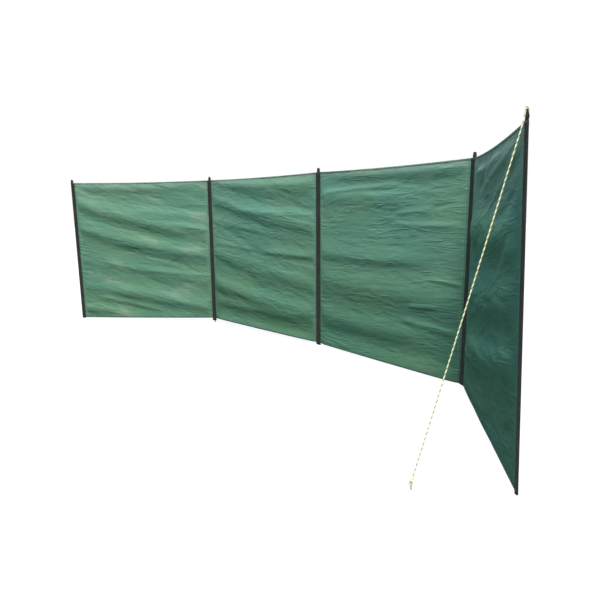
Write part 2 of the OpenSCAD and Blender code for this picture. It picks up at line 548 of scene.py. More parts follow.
@dataclass(frozen=True)
class Layout:
    """Plan and heights of the windbreak, in metres and degrees, as in the part's source."""

    bay_w: float = 1.300
    left_turn: float = 34.5
    middle_turn: float = 7.0
    right_turn: float = 44.0
    end_lean: float = 2.5
    pole_d: float = 0.009
    pole_rise: float = 0.026
    cloth_top: float = 1.226
    foot_gaps: tuple[float, ...] = (0.007, 0.039, 0.016, 0.004, 0.003)
    cut_h: float = 1.200
    hem_h: float = 0.010
    hem_t: float = 0.004
    top_sags: tuple[float, ...] = (0.007, 0.007, 0.008, 0.014)
    seam_at: float = 0.021
    end_margin: float = 0.013
    sleeve_drop: float = 0.022
    sleeve_gap: float = 0.002
    sleeve_t: float = 0.0015
    ease: float = 0.0003
    strap_w: float = 0.012
    strap_t: float = 0.002
    foot_spread: float = 0.005
    gather_w: float = 0.006
    rope_d: float = 0.005
    knot_d: float = 0.013
    whip_l: float = 0.014
    peg_reach: float = 0.360
    peg_d: float = 0.006
    peg_shank: float = 0.012
    poles: int = 5
    middle: int = 3

    @property
    def crown_z(self) -> float:
        """Height of the middle of the end loop's webbing where the rope holds it."""
        return self.cloth_top + self.pole_rise + self.rope_d + 2 * self.ease + self.strap_t / 2

    @property
    def panel_w(self) -> float:
        """Width of a bay's cloth between its seams."""
        return self.bay_w - 2 * self.seam_at

    @property
    def headings(self) -> tuple[float, float, float, float]:
        """Heading of each bay, in degrees."""
        half = self.middle_turn / 2
        return (half + self.left_turn, half, -half, -half - self.right_turn)

    def run_at(self, pole: int) -> float:
        """Heading of the run at a pole, which halves the turn there."""
        first, last = max(pole - 1, 1), min(pole, self.poles - 1)
        return (self.headings[first - 1] + self.headings[last - 1]) / 2

    def foot(self, pole: int) -> Vector:
        """Finds the foot of a pole, with the middle one at the origin.

        Args:
            pole: Number of the pole.

        Returns:
            The foot.
        """
        turns = [math.radians(heading) for heading in self.headings]
        steps = [self.bay_w * Vector((math.cos(turn), math.sin(turn), 0)) for turn in turns]
        behind = sum((steps[bay - 1] for bay in range(pole, self.middle)), Vector((0, 0, 0)))
        ahead = sum((steps[bay - 1] for bay in range(self.middle, pole)), Vector((0, 0, 0)))
        return ahead - behind

    def end_frame(self) -> Matrix:
        """Foot of the end pole, with X along the last bay."""
        turn = Matrix.Rotation(math.radians(self.headings[-1]), 4, "Z")
        return Matrix.Translation(self.foot(self.poles)) @ turn

    def pole_frame(self, pole: int) -> Matrix:
        """Finds the axis of a pole.

        Args:
            pole: Number of the pole.

        Returns:
            Its frame, with X the way that the run goes there.
        """
        lean = math.radians(self.end_lean if pole == self.poles else 0.0)
        run = Matrix.Rotation(math.radians(self.run_at(pole)), 4, "Z")
        return Matrix.Translation(self.foot(pole)) @ run @ Matrix.Rotation(lean, 4, "X")

    def sleeve_foot(self, pole: int) -> float:
        """Height of a sleeve's lower end."""
        return max(self.sleeve_gap, self.foot_gaps[pole - 1] - self.sleeve_drop)

    def bottom(self, bay: int, along: float) -> float:
        """Height of a bay's bottom edge at a distance from the left pole."""
        first, last = self.foot_gaps[bay - 1 : bay + 1]
        return first + (last - first) * along / self.bay_w

    def top(self, bay: int, along: float) -> float:
        """Finds the height of a bay's sagging top edge.

        Args:
            bay: Number of the bay.
            along: Distance from the left pole's axis.

        Returns:
            The height above the ground.
        """
        sag = self.top_sags[bay - 1]
        radius = ((self.panel_w / 2) ** 2 + sag**2) / (2 * sag)
        return self.cloth_top - sag + radius - math.sqrt(radius**2 - (along - self.bay_w / 2) ** 2)

    def sheet(self, bay: int, along: float, height: float) -> tuple[Vector, Vector]:
        """A point of a bay's cloth, which turns with the lean of its pole in the last bay.

        Args:
            bay: Number of the bay.
            along: Distance from the left pole's axis.
            height: Height above the ground.

        Returns:
            The point, and the way that the cloth faces on the sheltered side.
        """
        slant = math.atan2(self.cloth_top * math.tan(math.radians(self.end_lean)), self.bay_w)
        twist = -slant * height / self.cloth_top if bay == self.poles - 1 else 0.0
        run = Matrix.Rotation(math.radians(self.headings[bay - 1]) + twist, 4, "Z")
        return self.foot(bay) + run @ Vector((along, 0, height)), run @ Vector((0, -1, 0))


class Edge(Enum):
    """The two bound edges of a bay."""

    TOP = "top_hem"
    BOTTOM = "bottom_hem"


def tube(segments: int, cuts: int, caps: bool) -> bmesh.types.BMesh:
    """Makes a round tube of radius 1 from height 0 to 1, in rings.

    Args:
        segments: Sides round it.
        cuts: Rings between its two ends.
        caps: Whether its ends are closed.

    Returns:
        The tube, for its points to be moved.
    """
    made = bmesh.new()
    bmesh.ops.create_cone(
        made, cap_ends=caps, cap_tris=False, segments=segments, radius1=1, radius2=1, depth=1,
        matrix=Matrix.Translation((0, 0, 0.5)),
    )
    rising = [e for e in made.edges if abs(e.verts[0].co.z - e.verts[1].co.z) > 0.5]
    bmesh.ops.subdivide_edges(made, edges=rising, cuts=cuts, use_grid_fill=False)
    return made


def lay_out(
    made: bmesh.types.BMesh, flat: Callable[[Vector], tuple[float, float]], wrap: float = 0.0
) -> None:
    """Writes each corner's place in its pattern.

    Args:
        made: The mesh, before its points are moved.
        flat: Gives a point's place in the pattern.
        wrap: Length of the pattern round a closed piece, or 0 where it isn't closed.
    """
    layer = made.loops.layers.uv.new(CUT)
    for face in made.faces:
        spots = [list(flat(loop.vert.co)) for loop in face.loops]
        widest = max(s[0] for s in spots)
        for loop, spot in zip(face.loops, spots):
            if wrap and widest - spot[0] > wrap / 2:
                spot[0] += wrap
            loop[layer].uv = spot


def lengths(points: np.ndarray) -> np.ndarray:
    """Length of a line of points from its start to each of them."""
    return np.concatenate(([0], np.cumsum(np.linalg.norm(np.diff(points, axis=0), axis=1))))


def points_at(points: np.ndarray, places: np.ndarray) -> np.ndarray:
    """Points at given lengths along a line of points."""
    return np.stack([np.interp(places, lengths(points), column) for column in points.T], 1)


class Piece:
    """What every new piece has in common: its way into the scene."""

    @staticmethod
    def publish(
        made: bmesh.types.BMesh, name: str, material: bpy.types.Material, slot: str, nodes: Sequence[str]
    ) -> bpy.types.Object:
        """Turns a mesh into a piece that rides on the windbreak.

        Args:
            made: The mesh, which is used up.
            name: Name of the piece.
            material: Its finish.
            slot: The record's material slot; not used.
            nodes: The solids that it stands for.

        Returns:
            The piece.
        """
        data = bpy.data.meshes.new(name)
        bmesh.ops.recalc_face_normals(made, faces=made.faces)
        for face in made.faces:
            face.smooth = True
        made.to_mesh(data)
        made.free()
        piece = bpy.data.objects.new(name, data)
        bpy.context.scene.collection.objects.link(piece)
        data.materials.append(material)
        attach(piece, BODY)
        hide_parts(*nodes)
        LOG.info("%s: %d faces", name, len(data.polygons))
        return piece

    @staticmethod
    def thicken(piece: bpy.types.Object, thickness: float, offset: float) -> None:
        """Gives a single layer its thickness.

        Args:
            piece: The piece.
            thickness: How thick it becomes.
            offset: Which side it grows on, from -1 inwards to 1 outwards.
        """
        wall = piece.modifiers.new("wall", "SOLIDIFY")
        wall.thickness = thickness
        wall.offset = offset
        wall.use_even_offset = False


@dataclass(frozen=True)
class Fold:
    """One raised fold of a bay.

    Attributes:
        start: Where it begins, as shares of the bay's width and height.
        end: Where it ends.
        rise: Its height.
        above: How far it spreads upwards.
        below: How far it spreads downwards.
        bow: How far its middle hangs below the straight line.
        swell: The shares of its length between which it grows.
        fade: The shares of its length between which it fades.
    """

    start: tuple[float, float]
    end: tuple[float, float]
    rise: float
    above: float
    below: float
    bow: float = 0.0
    swell: tuple[float, float] = (-0.2, 0.15)
    fade: tuple[float, float] = (0.8, 1.2)

    def height(self, across: float, up: float, width: float, tall: float) -> float:
        """How far the fold lifts the cloth.

        Args:
            across: Distance from the bay's left seam.
            up: Distance from its bottom.
            width: Width of the bay.
            tall: Height of the bay.

        Returns:
            The lift towards the sheltered side.
        """
        ax, az = self.start[0] * width, self.start[1] * tall
        dx, dz = self.end[0] * width - ax, self.end[1] * tall - az
        length = math.hypot(dx, dz)
        share = ((across - ax) * dx + (up - az) * dz) / length**2
        if not self.swell[0] < share < self.fade[1]:
            return 0.0
        off = ((up - az) * dx - (across - ax) * dz) / length + self.bow * 4 * share * (1 - share)
        reach = self.above if off > 0 else self.below
        ends = soft_step(*self.swell, share) * (1 - soft_step(*self.fade, share))
        return self.rise * math.exp(-0.5 * (off / reach) ** 2) * ends


@dataclass(frozen=True)
class Crinkle:
    """A layer of creases that all run at about one slope.

    Attributes:
        spacing: Distance between creases.
        stretch: How many times as long as wide they are.
        slope: Their slope in degrees.
        rise: Their height.
        sharp: How much of them is sharp lines and not soft waves.
        seed: A number that makes them other creases.
        wander: How far they stray from the slope.
    """

    spacing: float
    stretch: float
    slope: float
    rise: float
    sharp: float
    seed: float
    wander: float = 0.7

    def height(self, across: float, up: float) -> float:
        """How far the creases lift the cloth at a place.

        Args:
            across: Distance from the bay's left seam.
            up: Distance from its bottom.

        Returns:
            The lift towards the sheltered side.
        """
        turn = math.radians(self.slope)
        along = across * math.cos(turn) + up * math.sin(turn)
        off = up * math.cos(turn) - across * math.sin(turn)
        spot = Vector((along / (self.spacing * self.stretch), off / self.spacing, self.seed))
        spot.y += self.wander * noise.noise(spot * 0.6 + Vector((5.2, 1.3, 0.0)))
        rolling = noise.noise(spot)
        ridge = 0.4 - 1.6 * abs(rolling)
        return self.rise * ((1 - self.sharp) * rolling + self.sharp * ridge)


@dataclass(frozen=True)
class Drape:
    """How the cloth of one bay hangs between its poles, how it has aged, and the painted light and shade on
    it.

    Attributes:
        folds: Its large folds.
        crinkles: Its layers of creases.
        billow: How far the middle of the bay stands out.
        seed: A number that gives the bay its own mottling.
        slope: How far its fine creases rise for each length across.
        painted_light_rise: How far its colour is from low to high near the ground and near the top: painted
            shade near the ground and painted light near the top.
        faded: How dusty it is.
        painted_sheen_band: How strong the painted sheen along its top is, and how far down it reaches.
        hold: How far from a seam the folds are still held flat.
        loose: How much of the folds is left at the hems.
        hem_hold: How far from a hem the folds are still held.
        pucker: Height of the small puckers along the seams.
        pucker_l: Length of seam to a pucker.
        pucker_w: How far they reach from a seam.
        pucker_start: How far from a seam they are at their full height.
    """

    folds: tuple[Fold, ...]
    crinkles: tuple[Crinkle, ...]
    billow: float
    seed: float
    slope: float
    painted_light_rise: tuple[float, float] = (0.0, 1.0)
    faded: float = 0.05
    painted_sheen_band: tuple[float, float] = (0.38, 0.07)
    hold: float = 0.05
    loose: float = 0.80
    hem_hold: float = 0.08
    pucker: float = 0.0016
    pucker_l: float = 0.024
    pucker_w: float = 0.045
    pucker_start: float = 0.02

    def height(self, across: float, up: float, width: float, tall: float) -> float:
        """Lift of the cloth at a place, nothing at its seams and less at its hems.

        Args:
            across: Distance from the bay's left seam.
            up: Distance from its bottom.
            width: Width of the bay.
            tall: Height of the bay.

        Returns:
            The lift towards the sheltered side.
        """
        side = min(across, width - across)
        rim = min(up, tall - up)
        if side <= 0:
            return 0.0
        eased = self.loose + (1 - self.loose) * soft_step(0.0, self.hem_hold, rim)
        free = soft_step(0.0, self.hold, side) * eased
        lift = sum(fold.height(across, up, width, tall) for fold in self.folds)
        lift += sum(crinkle.height(across, up) for crinkle in self.crinkles)
        bow = self.billow * math.sin(math.pi * across / width)
        near = math.exp(-side / self.pucker_w) * soft_step(0.0, self.pucker_start, side)
        tug = noise.noise(Vector((across * 9, up / self.pucker_l, self.seed))) * near
        return free * lift + bow + self.pucker * tug


# The top binding is paler and greyer than the bottom one: partly dust and fading, and partly painted light
# for light falling on the top hem from above.
BINDINGS_PAINTED_LIGHT_TOP = {
    Edge.TOP: BindingFinish(Shade(106, 134, 121), Shade(132, 158, 146), Shade(146, 168, 156)),
    Edge.BOTTOM: BindingFinish(),
}


@dataclass
class Bay(Piece):
    """One bay of the windbreak: its cloth and its two bound hems.

    Attributes:
        layout: Plan and heights of the windbreak.
        number: Number of the bay.
        drape: How its cloth hangs.
        columns: Squares of the cloth across.
        rows: Squares of the cloth from bottom to top.
        tuck: How far the cloth goes into the sleeves.
        inside_hem: How far its edge stays inside the hem.
        cloth_t: Thickness of the cloth.
        hem_sides: Points round a hem.
        hem_cuts: Rings of points along a hem.
        hem_flat: How much flatter a hem is pressed than its solid.
        hem_square: How square a hem's section is, from 0 for round to 1.
    """

    layout: Layout
    number: int
    drape: Drape
    columns: int = 200
    rows: int = 190
    tuck: float = 0.004
    inside_hem: float = 0.002
    cloth_t: float = 0.001
    hem_sides: int = 16
    hem_cuts: int = 120
    hem_flat: float = 0.72
    hem_square: float = 0.7

    def point(self, along: float, height: float, out: float = 0.0) -> Vector:
        """A point on the hanging cloth.

        Args:
            along: Distance from the left pole's axis.
            height: Height above the ground.
            out: Distance in front of the cloth.

        Returns:
            The point in the shared frame.
        """
        flat, facing = self.layout.sheet(self.number, along, height)
        low = self.layout.bottom(self.number, along)
        tall = self.layout.top(self.number, along) - low
        lift = self.drape.height(along - self.layout.seam_at, height - low, self.layout.panel_w, tall)
        return flat + facing * (lift + out)

    def build(self) -> bpy.types.Object:
        """Builds and dresses the bay.

        Returns:
            The cloth; its hems are built as their own pieces.
        """
        hems = [self.build_hem(edge) for edge in Edge]
        cloth = self.build_cloth()
        sleeves = [f"sleeve_{self.number}", f"sleeve_{self.number + 1}"]
        return cloth

    def build_cloth(self) -> bpy.types.Object:
        """Sculpts the cloth from a flat grid.

        Returns:
            The cloth.
        """
        first = self.layout.seam_at - self.tuck
        reach = self.layout.panel_w + 2 * self.tuck
        made = bmesh.new()
        bmesh.ops.create_grid(made, x_segments=self.columns, y_segments=self.rows, size=0.5)

        def spot(corner: Vector) -> tuple[float, float]:
            """Finds the place of a corner of the grid.

            Args:
                corner: The corner.

            Returns:
                Its distance along the bay and its height.
            """
            along = first + (corner.x + 0.5) * reach
            low = self.layout.bottom(self.number, along) + self.inside_hem
            high = self.layout.top(self.number, along) - self.inside_hem
            return along, low + (corner.y + 0.5) * (high - low)

        lay_out(made, lambda corner: (spot(corner)[0] - self.layout.seam_at, spot(corner)[1]))
        for vert in made.verts:
            vert.co = self.point(*spot(vert.co))
        material = ClothFinish().dress(self.layout.panel_w, self.layout.cloth_top, self.drape)
        piece = self.publish(made, f"bay_cloth_{self.number}", material, "cloth", [f"panel_{self.number}"])
        self.thicken(piece, self.cloth_t, 0.0)
        return piece

    def build_hem(self, edge: Edge) -> bpy.types.Object:
        """Folds the binding over one edge of the cloth.

        Args:
            edge: Which edge it is.

        Returns:
            The bound hem.
        """
        made = tube(self.hem_sides, self.hem_cuts, True)
        half_t, half_h = self.layout.hem_t * self.hem_flat / 2, self.layout.hem_h / 2

        def place(corner: Vector) -> tuple[float, float, float]:
            """Finds the place of a corner of the tube, drawn out to a flat round-edged band.

            Args:
                corner: The corner.

            Returns:
                Its distance along the bay, height in the hem and distance in front of the cloth.
            """
            turn = math.atan2(corner.y, corner.x)
            out, rise = math.cos(turn), math.sin(turn)
            squared = max(abs(out), abs(rise)) ** self.hem_square
            return corner.z * self.layout.panel_w, half_h * rise / squared, half_t * out / squared

        lay_out(made, lambda corner: (place(corner)[0], half_h - place(corner)[1]))
        for vert in made.verts:
            along, rise, out = place(vert.co)
            along += self.layout.seam_at
            high, low = self.layout.top(self.number, along), self.layout.bottom(self.number, along)
            middle = high - half_h if edge is Edge.TOP else low + half_h
            vert.co = self.point(along, middle + rise, out)
        node = f"{edge.value}_{self.number}"
        return self.publish(made, f"bound_{node}", BINDINGS_PAINTED_LIGHT_TOP[edge].dress(), "hem", [node])


@dataclass
class Post(Piece):
    """What is sewn round one pole: its tape sleeve and the webbing loop over its end.

    Attributes:
        layout: Plan and heights of the windbreak.
        number: Number of the pole.
        rings: Rings of points up the sleeve.
        sides: Points round it.
        looks: Ways in which its outline is measured.
        wall: Thickness of the tape.
        half_w: Half the width of the tape's pattern.
        turned_in: Distances from an end between which the doubled tape stops.
        swell: How much fuller the doubled tape is.
        ripple: How much the tape's faces ripple.
        ripple_l: Length of a ripple.
        draw: How much the tape's edges are drawn in and out.
        draw_l: Length between such places.
        strap_cells: Squares of the webbing across and along.
        strap_cut: Width of the webbing's pattern.
        strap_full: How much wider than its own radius the tied loop stands.
        neck_h: Height up to which the webbing's feet are drawn in.
        neck: How much narrower the feet are.
        tied_neck: How much closer to the pole the tied loop's feet are.
        gather: Heights between which the rope gathers the tied loop.
    """

    layout: Layout
    number: int
    rings: int = 96
    sides: int = 56
    looks: int = 1440
    wall: float = 0.0012
    half_w: float = 0.020
    turned_in: tuple[float, float] = (0.013, 0.015)
    swell: float = 0.05
    ripple: float = 0.03
    ripple_l: float = 0.09
    draw: float = 0.035
    draw_l: float = 0.055
    strap_cells: tuple[int, int] = (6, 72)
    strap_cut: float = 0.034
    strap_full: float = 1.14
    neck_h: float = 0.012
    neck: float = 0.30
    tied_neck: float = 0.24
    gather: tuple[float, float] = (0.010, 0.030)

    @property
    def tied(self) -> bool:
        """Whether the rope holds this pole's loop."""
        return self.number == self.layout.poles

    @property
    def loop_r(self) -> float:
        """Radius of the middle of the webbing where it goes over the pole."""
        return self.layout.pole_d / 2 + self.layout.ease + self.layout.strap_t / 2

    @property
    def leg(self) -> float:
        """Height of the webbing's straight legs."""
        return self.layout.pole_rise - self.layout.pole_d / 2

    @property
    def loop_l(self) -> float:
        """Length of the webbing."""
        return 2 * self.leg + math.pi * self.loop_r

    def outline(self) -> np.ndarray:
        """Finds the outline of tape drawn round the pole between the two seams.

        Returns:
            Points at even distances round the outline, in the pole's frame.
        """
        lay, pole = self.layout, self.number
        radius = lay.pole_d / 2 + lay.ease + lay.sleeve_t
        ends = []
        for bay, way in ((pole, 1), (pole - 1, -1)):
            sewn = 1 <= bay < lay.poles
            turn = math.radians(lay.headings[bay - 1] - lay.run_at(pole)) if sewn else 0.0
            along = way * np.array((math.cos(turn), math.sin(turn)))
            over = np.array((-along[1], along[0])) * lay.hem_t / 2
            reach = lay.seam_at if sewn else lay.end_margin
            ends += [along * reach + over, along * reach - over]
        turns = np.linspace(0, TAU, self.looks, endpoint=False)
        ways = np.stack((np.cos(turns), np.sin(turns)), 1)
        support = np.maximum(radius, (np.array(ends) @ ways.T).max(0))
        lean = ways @ ways.T
        steep = 0.02
        far = np.where(lean > steep, support[None, :] / np.maximum(lean, steep), np.inf).min(1)
        points = far[:, None] * ways
        closed = np.vstack((points, points[:1]))
        return points_at(closed, np.linspace(0, lengths(closed)[-1], self.sides, endpoint=False))

    def build_sleeve(self) -> bpy.types.Object:
        """Sews the tape round the pole, with turned ends and slightly drawn edges.

        Returns:
            The sleeve.
        """
        lay = self.layout
        ring = self.outline()
        frame = lay.pole_frame(self.number)
        foot = lay.sleeve_foot(self.number)
        tall = lay.cloth_top - foot
        made = tube(self.sides, self.rings, False)

        def side_of(corner: Vector) -> int:
            """Number of the outline's point that a corner of the tube stands for."""
            return round(math.atan2(corner.y, corner.x) / TAU * self.sides) % self.sides

        def flat(corner: Vector) -> tuple[float, float]:
            """Place in the tape, which has its pattern on both of its faces."""
            x = ring[side_of(corner)][0] / lay.seam_at
            return self.half_w * (1 + max(-1.0, min(1.0, x))), corner.z * tall

        lay_out(made, flat)
        for vert in made.verts:
            x, y = ring[side_of(vert.co)]
            height = vert.co.z * tall
            turned = 1 - soft_step(*self.turned_in, min(height, tall - height))
            drawn = noise.noise(Vector((height / self.draw_l, self.number * 7.3 + (3 if x > 0 else 0), 0)))
            wave = noise.noise(Vector((x * 90, y * 60, height / self.ripple_l + self.number * 11)))
            out = 1 + self.ripple * wave + self.swell * turned
            pull = 1 + self.draw * drawn * soft_step(0.5, 1.0, abs(x) / lay.seam_at)
            vert.co = frame @ Vector((x * pull, y * out, foot + height))
        name = f"sleeve_{self.number}"
        piece = self.publish(made, f"tape_{name}", TapeFinish().dress("sleeve_tape"), "sleeve", [name])
        self.thicken(piece, self.wall, -1.0)
        return piece

    def bend(self, share: float) -> tuple[float, float]:
        """Finds a place on the line of the webbing over the pole.

        Args:
            share: How far along the webbing it is, from 0 to 1.

        Returns:
            Its distance from the pole's axis along the run, and its height above the sleeve.
        """
        done = share * self.loop_l
        if self.tied:
            turn = math.pi * share
            crown = self.layout.crown_z - self.layout.cloth_top
            return -self.strap_full * self.loop_r * math.cos(turn), crown * math.sin(turn)
        if done < self.leg:
            return -self.loop_r, done
        if done > self.loop_l - self.leg:
            return self.loop_r, self.loop_l - done
        turn = (done - self.leg) / self.loop_r
        return -self.loop_r * math.cos(turn), self.leg + self.loop_r * math.sin(turn)

    def build_loop(self) -> bpy.types.Object:
        """Bends the webbing from one side of the sleeve's top over the pole to the other.

        Returns:
            The loop.
        """
        lay = self.layout
        frame = lay.pole_frame(self.number)
        cells_across, cells_along = self.strap_cells
        made = bmesh.new()
        bmesh.ops.create_grid(made, x_segments=cells_across, y_segments=cells_along, size=0.5)
        lay_out(made, lambda spot: (self.half_w + spot.x * self.strap_cut, (spot.y + 0.5) * self.loop_l))
        for vert in made.verts:
            x, z = self.bend(vert.co.y + 0.5)
            neck = 1 - soft_step(0.0, self.neck_h, z)
            wide = lay.strap_w * (1 - self.neck * neck)
            if self.tied:
                wide += (lay.gather_w - wide) * soft_step(*self.gather, z)
                x *= 1 - self.tied_neck * neck
            else:
                x += math.copysign(lay.foot_spread, x) * max(0.0, 1 - z / self.leg)
            vert.co = frame @ Vector((x, vert.co.x * wide, lay.cloth_top + z))
        name = f"top_loop_{self.number}"
        material = TapeFinish(rib=0.0016).dress("loop_webbing")
        piece = self.publish(made, f"webbing_{name}", material, "webbing", [name])
        self.thicken(piece, lay.strap_t, 0.0)
        return piece


@dataclass
class GuyRope(Piece):
    """The stay of the end pole: tied round the webbing, taut to the peg, with an eye on its hook.

    Attributes:
        layout: Plan and heights of the windbreak.
        lay: Length of one turn of the strands.
        strands: Strands in the rope.
        groove: Depth of the grooves between them, as a share of the rope's diameter.
        sides: Points round the rope.
        per_turn: Rings of points to a turn of the strands.
        run_cuts: Steps along the straight run.
        turn_cuts: Steps round an eye.
        knot_cuts: Steps to a turn of a knot.
        sag: How far the middle of the run hangs.
        twine: Radius of the whipping's twine.
        knot_turns: Turns of the lower knot.
        knot_r: Distance of these turns from the rope's middle, in radii of the rope.
        knot_pitch: Distance between them, in diameters of the rope.
        knot_tight: How much thinner the rope is in the knot.
    """

    layout: Layout
    lay: float = 0.020
    strands: int = 3
    groove: float = 0.10
    sides: int = 24
    per_turn: int = 16
    run_cuts: int = 60
    turn_cuts: int = 36
    knot_cuts: int = 24
    sag: float = 0.006
    twine: float = 0.0008
    knot_turns: float = 2.4
    knot_r: float = 1.55
    knot_pitch: float = 0.8
    knot_tight: float = 0.92

    def strand(self, into: bmesh.types.BMesh, path: Sequence[Vector], radius: float) -> None:
        """Lays rope along a path.

        Args:
            into: The mesh that takes it.
            path: Points close together along the rope's middle.
            radius: Radius of the rope.
        """
        points = np.array([tuple(point) for point in path])
        reach = lengths(points)[-1]
        rings = max(6, int(reach / self.lay * self.per_turn))
        even = np.linspace(0, reach, rings + 2)
        line = points_at(points, even)
        ways = np.gradient(line, axis=0)
        ways /= np.linalg.norm(ways, axis=1)[:, None]
        side = np.cross(ways[0], ASKEW)
        sides = []
        for way in ways:
            side = side - way * (side @ way)
            side = side / np.linalg.norm(side)
            sides.append(side)
        made = tube(self.sides, rings, True)

        def ring_of(corner: Vector) -> int:
            """Number of the ring that a corner of the tube is on."""
            return round(corner.z * (rings + 1))

        lay_out(made, lambda c: (math.atan2(c.y, c.x) / TAU + 0.5, even[ring_of(c)]), 1.0)
        for vert in made.verts:
            ring = ring_of(vert.co)
            turn = math.atan2(vert.co.y, vert.co.x)
            laid = self.strands * (turn + math.pi - TAU * even[ring] / self.lay)
            lobe = 1 - self.groove * (1 + math.cos(laid))
            over = np.cross(ways[ring], sides[ring])
            out = math.cos(turn) * sides[ring] + math.sin(turn) * over
            vert.co = Vector(line[ring] + radius * lobe * out)
        data = bpy.data.meshes.new("strand")
        made.to_mesh(data)
        made.free()
        into.from_mesh(data)
        bpy.data.meshes.remove(data)

    def wraps(self, middle: Vector, way: Vector, radius: float, turns: float, pitch: float) -> list[Vector]:
        """Path of a knot's turns round a line.

        Args:
            middle: Middle of the knot.
            way: Direction of the line.
            radius: Distance from the line.
            turns: Number of turns.
            pitch: Distance between turns.

        Returns:
            The points of the path.
        """
        side = way.cross(Vector(ASKEW)).normalized()
        over = way.cross(side)
        count = int(turns * self.knot_cuts)
        path = []
        for k in range(count + 1):
            turn = TAU * turns * k / count
            shift = (k / count - 0.5) * turns * pitch
            path.append(middle + way * shift + radius * (math.cos(turn) * side + math.sin(turn) * over))
        return path

    def build(self) -> bpy.types.Object:
        """Ties, lays and hooks the rope.

        Returns:
            The rope.
        """
        lay = self.layout
        radius = lay.rope_d / 2
        tie_r = math.hypot(lay.gather_w, lay.strap_t) / 2 + lay.ease + radius
        hook_r = lay.rope_d + lay.peg_d / 2 + 2 * lay.ease
        eye_r = lay.peg_d / 2 + radius + 2 * lay.ease
        pole, end = lay.pole_frame(lay.poles), lay.end_frame()
        crown = pole @ Vector((0, 0, lay.crown_z))
        eye = end @ Vector((0, -lay.peg_reach, lay.peg_shank + hook_r + lay.ease))
        way = (crown - eye).normalized()
        low, high = eye + way * eye_r, crown - way * tie_r

        made = bmesh.new()
        shares = [k / self.run_cuts for k in range(self.run_cuts + 1)]
        hang = [Vector((0, 0, 4 * self.sag * share * (1 - share))) for share in shares]
        self.strand(made, [low.lerp(high, share) - drop for share, drop in zip(shares, hang)], radius)
        turns = [TAU * k / self.turn_cuts for k in range(self.turn_cuts + 1)]
        ring = [end.to_3x3() @ Vector((0, math.cos(turn), math.sin(turn))) for turn in turns]
        for middle, reach in ((crown, tie_r), (eye, eye_r)):
            self.strand(made, [middle + reach * out for out in ring], radius)
        whipping, thread = high - way * (lay.whip_l / 2), 2 * self.twine
        bound = self.wraps(whipping, way, radius + self.twine, lay.whip_l / thread, thread)
        self.strand(made, bound, self.twine)
        knot = low + way * (lay.knot_d / 2)
        tied = self.wraps(knot, way, radius * self.knot_r, self.knot_turns, lay.rope_d * self.knot_pitch)
        self.strand(made, tied, radius * self.knot_tight)
        return self.publish(made, "laid_guy_rope", RopeFinish(lay=self.lay).dress(), "rope", ["guy_rope"])


@dataclass
class Bars:
    """The rigid solids that keep their shape: the poles and the peg."""

    frame: Mapping[str, Mapping[str, bpy.types.Object]]
    coat: BarFinish = BarFinish("pole_coat", Shade(40, 40, 40), Shade(92, 92, 90), 0.0, 0.38)
    wire: BarFinish = BarFinish("peg_wire", Shade(176, 178, 180), Shade(120, 116, 110), 1.0, 0.30)

    def dress(self) -> None:
        """Gives the poles and the peg their finishes."""
        coat, wire = self.coat.dress(), self.wire.dress()
        for name, item in self.frame["nodes"].items():
            if name.startswith("pole_") or name == "ground_peg":
                item.data.materials.clear()
                item.data.materials.append(wire if name == "ground_peg" else coat)
                LOG.info("%s: dressed", name)


@dataclass(frozen=True)
class Lamp:
    """A far lamp.

    Attributes:
        name: Its name.
        source: Where it shines from, as a heading and a height in degrees.
        energy: Its strength.
        spread: Its width in degrees.
        colour: Its colour.
    """

    name: str
    source: tuple[float, float]
    energy: float
    spread: float
    colour: tuple[float, float, float]

    def hang(self) -> None:
        """Hangs the lamp."""
        lamp = bpy.data.lights.new(self.name, "SUN")
        lamp.energy = self.energy
        lamp.angle = math.radians(self.spread)
        lamp.color = self.colour
        turn, rise = (math.radians(angle) for angle in self.source)
        away = Vector((math.cos(turn) * math.cos(rise), math.sin(turn) * math.cos(rise), math.sin(rise)))
        hung = bpy.data.objects.new(self.name, lamp)
        hung.rotation_euler = away.to_track_quat("Z", "Y").to_euler()
        bpy.context.scene.collection.objects.link(hung)


